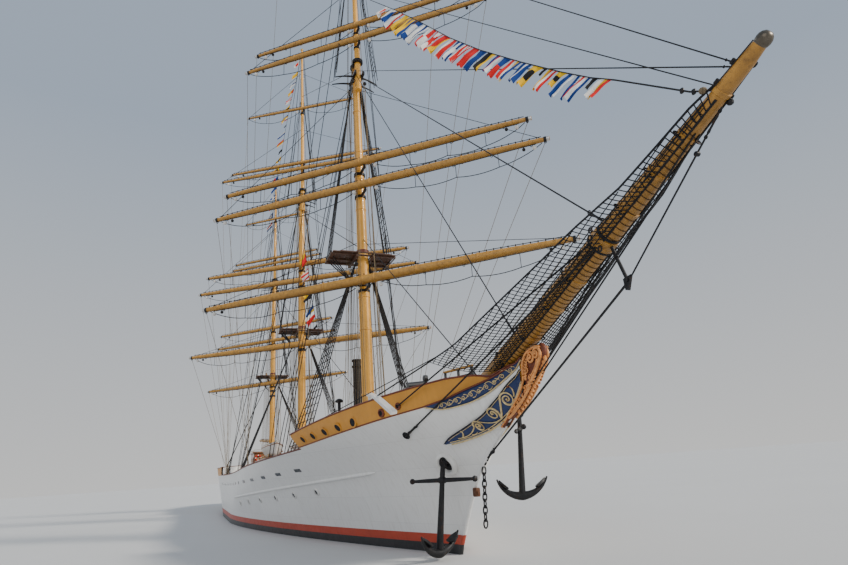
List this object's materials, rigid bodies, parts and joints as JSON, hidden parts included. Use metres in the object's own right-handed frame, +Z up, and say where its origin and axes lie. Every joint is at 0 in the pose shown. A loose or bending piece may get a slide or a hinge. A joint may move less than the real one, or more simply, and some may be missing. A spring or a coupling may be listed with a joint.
{
  "type": "three-masted full-rigged ship, 1:10 scale model",
  "caption": "Full-rigged sailing ship with a clipper stem, braced bare yards, a long bowsprit, deckhouses, boats and hanging anchors, floating at its waterline.",
  "frame": {"origin": "on the waterline at the ship's centreline, amidships", "axes": "+X towards the bow, +Y to port, +Z up"},
  "size_m": [8.4524, 1.9664, 5.4805],
  "materials": {
    "black_paint": "satin",
    "red_paint": "satin",
    "ochre_paint": "satin",
    "mast_paint": "semi-gloss",
    "yard_paint": "satin",
    "blue_paint": "gloss",
    "gilding": "gilded",
    "varnished_wood": "varnished",
    "grey_steel": "worn",
    "white_paint": "satin"
  },
  "bodies": {
    "ship": {"anchor_port": "black_paint", "anchor_starboard": "black_paint", "boat_port": "white_paint", "boat_starboard": "white_paint", "bobstay": "black_paint", "boot_top": "red_paint", "bowsprit": "mast_paint", "cathead_port": "white_paint", "cathead_starboard": "white_paint", "chart_house": "varnished_wood", "figurehead": "gilding", "fore_royal_stay": "black_paint", "fore_stay": "black_paint", "fore_topgallant_stay": "black_paint", "fore_topmast_stay": "black_paint", "forecastle": "white_paint", "forecastle_bulwark": "ochre_paint", "foremast": "mast_paint", "forward_deckhouse": "white_paint", "galley_funnel": "black_paint", "helm_box": "varnished_wood", "hull_topsides": "white_paint", "hull_underwater": "black_paint", "jib_stay": "black_paint", "main_stay": "black_paint", "mainmast": "mast_paint", "midship_deckhouse": "white_paint", "mizzen_stay": "black_paint", "mizzenmast": "mast_paint", "poop": "white_paint", "poop_bulwark": "ochre_paint", "trailboard_port": "blue_paint", "trailboard_starboard": "blue_paint", "well_bulwark_port": "white_paint", "well_bulwark_starboard": "white_paint"},
    "fore_course_yard": {"fore_course_yard": "yard_paint"},
    "fore_lower_topsail_yard": {"fore_lower_topsail_yard": "yard_paint"},
    "fore_upper_topsail_yard": {"fore_upper_topsail_yard": "yard_paint"},
    "fore_lower_topgallant_yard": {"fore_lower_topgallant_yard": "yard_paint"},
    "fore_upper_topgallant_yard": {"fore_upper_topgallant_yard": "yard_paint"},
    "fore_royal_yard": {"fore_royal_yard": "yard_paint"},
    "main_course_yard": {"main_course_yard": "yard_paint"},
    "main_lower_topsail_yard": {"main_lower_topsail_yard": "yard_paint"},
    "main_upper_topsail_yard": {"main_upper_topsail_yard": "yard_paint"},
    "main_lower_topgallant_yard": {"main_lower_topgallant_yard": "yard_paint"},
    "main_upper_topgallant_yard": {"main_upper_topgallant_yard": "yard_paint"},
    "main_royal_yard": {"main_royal_yard": "yard_paint"},
    "mizzen_course_yard": {"mizzen_course_yard": "yard_paint"},
    "mizzen_lower_topsail_yard": {"mizzen_lower_topsail_yard": "yard_paint"},
    "mizzen_upper_topsail_yard": {"mizzen_upper_topsail_yard": "yard_paint"},
    "mizzen_lower_topgallant_yard": {"mizzen_lower_topgallant_yard": "yard_paint"},
    "mizzen_upper_topgallant_yard": {"mizzen_upper_topgallant_yard": "yard_paint"},
    "mizzen_royal_yard": {"mizzen_royal_yard": "yard_paint"},
    "spanker_boom": {"spanker_boom": "yard_paint"},
    "spanker_gaff": {"spanker_gaff": "yard_paint"},
    "rudder": {"rudder": "black_paint"},
    "helm_wheel": {"helm_wheel": "varnished_wood"},
    "capstan": {"capstan": "grey_steel"}
  },
  "joints": [
    {"name": "fore_course_brace", "type": "hinge", "parent": "ship", "child": "fore_course_yard", "pos_m": [2.27086, 0, 1.36], "axis": [0, 0, 1], "range_deg": [-3, 85]},
    {"name": "fore_lower_topsail_brace", "type": "hinge", "parent": "ship", "child": "fore_lower_topsail_yard", "pos_m": [2.25505, 0, 1.99], "axis": [0, 0, 1], "range_deg": [-3, 84]},
    {"name": "fore_upper_topsail_brace", "type": "hinge", "parent": "ship", "child": "fore_upper_topsail_yard", "pos_m": [2.25101, 0, 2.151], "axis": [0, 0, 1], "range_deg": [-3, 83]},
    {"name": "fore_lower_topgallant_brace", "type": "hinge", "parent": "ship", "child": "fore_lower_topgallant_yard", "pos_m": [2.23806, 0, 3.129], "axis": [0, 0, 1], "range_deg": [-3, 81]},
    {"name": "fore_upper_topgallant_brace", "type": "hinge", "parent": "ship", "child": "fore_upper_topgallant_yard", "pos_m": [2.23338, 0, 3.253], "axis": [0, 0, 1], "range_deg": [-3, 80]},
    {"name": "fore_royal_brace", "type": "hinge", "parent": "ship", "child": "fore_royal_yard", "pos_m": [2.20933, 0, 3.89], "axis": [0, 0, 1], "range_deg": [-3, 79]},
    {"name": "main_course_brace", "type": "hinge", "parent": "ship", "child": "main_course_yard", "pos_m": [0.14139, 0, 1.459], "axis": [0, 0, 1], "range_deg": [-3, 73]},
    {"name": "main_lower_topsail_brace", "type": "hinge", "parent": "ship", "child": "main_lower_topsail_yard", "pos_m": [0.11984, 0, 2.093], "axis": [0, 0, 1], "range_deg": [-3, 72]},
    {"name": "main_upper_topsail_brace", "type": "hinge", "parent": "ship", "child": "main_upper_topsail_yard", "pos_m": [0.1143, 0, 2.256], "axis": [0, 0, 1], "range_deg": [-3, 71]},
    {"name": "main_lower_topgallant_brace", "type": "hinge", "parent": "ship", "child": "main_lower_topgallant_yard", "pos_m": [0.08836, 0, 3.334], "axis": [0, 0, 1], "range_deg": [-3, 69]},
    {"name": "main_upper_topgallant_brace", "type": "hinge", "parent": "ship", "child": "main_upper_topgallant_yard", "pos_m": [0.08515, 0, 3.403], "axis": [0, 0, 1], "range_deg": [-3, 68]},
    {"name": "main_royal_brace", "type": "hinge", "parent": "ship", "child": "main_royal_yard", "pos_m": [0.053, 0, 4.095], "axis": [0, 0, 1], "range_deg": [-3, 67]},
    {"name": "mizzen_course_brace", "type": "hinge", "parent": "ship", "child": "mizzen_course_yard", "pos_m": [-1.98912, 0, 1.442], "axis": [0, 0, 1], "range_deg": [-3, 90]},
    {"name": "mizzen_lower_topsail_brace", "type": "hinge", "parent": "ship", "child": "mizzen_lower_topsail_yard", "pos_m": [-2.01749, 0, 1.994], "axis": [0, 0, 1], "range_deg": [-3, 86]},
    {"name": "mizzen_upper_topsail_brace", "type": "hinge", "parent": "ship", "child": "mizzen_upper_topsail_yard", "pos_m": [-2.02628, 0, 2.165], "axis": [0, 0, 1], "range_deg": [-3, 85]},
    {"name": "mizzen_lower_topgallant_brace", "type": "hinge", "parent": "ship", "child": "mizzen_lower_topgallant_yard", "pos_m": [-2.06385, 0, 3.086], "axis": [0, 0, 1], "range_deg": [-3, 81]},
    {"name": "mizzen_upper_topgallant_brace", "type": "hinge", "parent": "ship", "child": "mizzen_upper_topgallant_yard", "pos_m": [-2.06891, 0, 3.162], "axis": [0, 0, 1], "range_deg": [-3, 81]},
    {"name": "mizzen_royal_brace", "type": "hinge", "parent": "ship", "child": "mizzen_royal_yard", "pos_m": [-2.10935, 0, 3.77], "axis": [0, 0, 1], "range_deg": [-3, 80]},
    {"name": "spanker_boom_swing", "type": "hinge", "parent": "ship", "child": "spanker_boom", "pos_m": [-2.13304, 0, 0.74], "axis": [-0.0513, 0, 0.9987], "range_deg": [-40, 40]},
    {"name": "spanker_gaff_swing", "type": "hinge", "parent": "ship", "child": "spanker_gaff", "pos_m": [-2.16285, 0, 1.32], "axis": [-0.0513, 0, 0.9987], "range_deg": [-40, 40]},
    {"name": "rudder_hinge", "type": "hinge", "parent": "ship", "child": "rudder", "pos_m": [-3.175, 0, -0.25], "axis": [0, 0, 1], "range_deg": [-35, 35]},
    {"name": "helm_spin", "type": "hinge", "parent": "ship", "child": "helm_wheel", "pos_m": [-3.118, 0, 0.51346], "axis": [1, 0, 0], "continuous": true},
    {"name": "capstan_spin", "type": "hinge", "parent": "ship", "child": "capstan", "pos_m": [2.96, 0, 0.5], "axis": [0, 0, 1], "continuous": true}
  ]
}
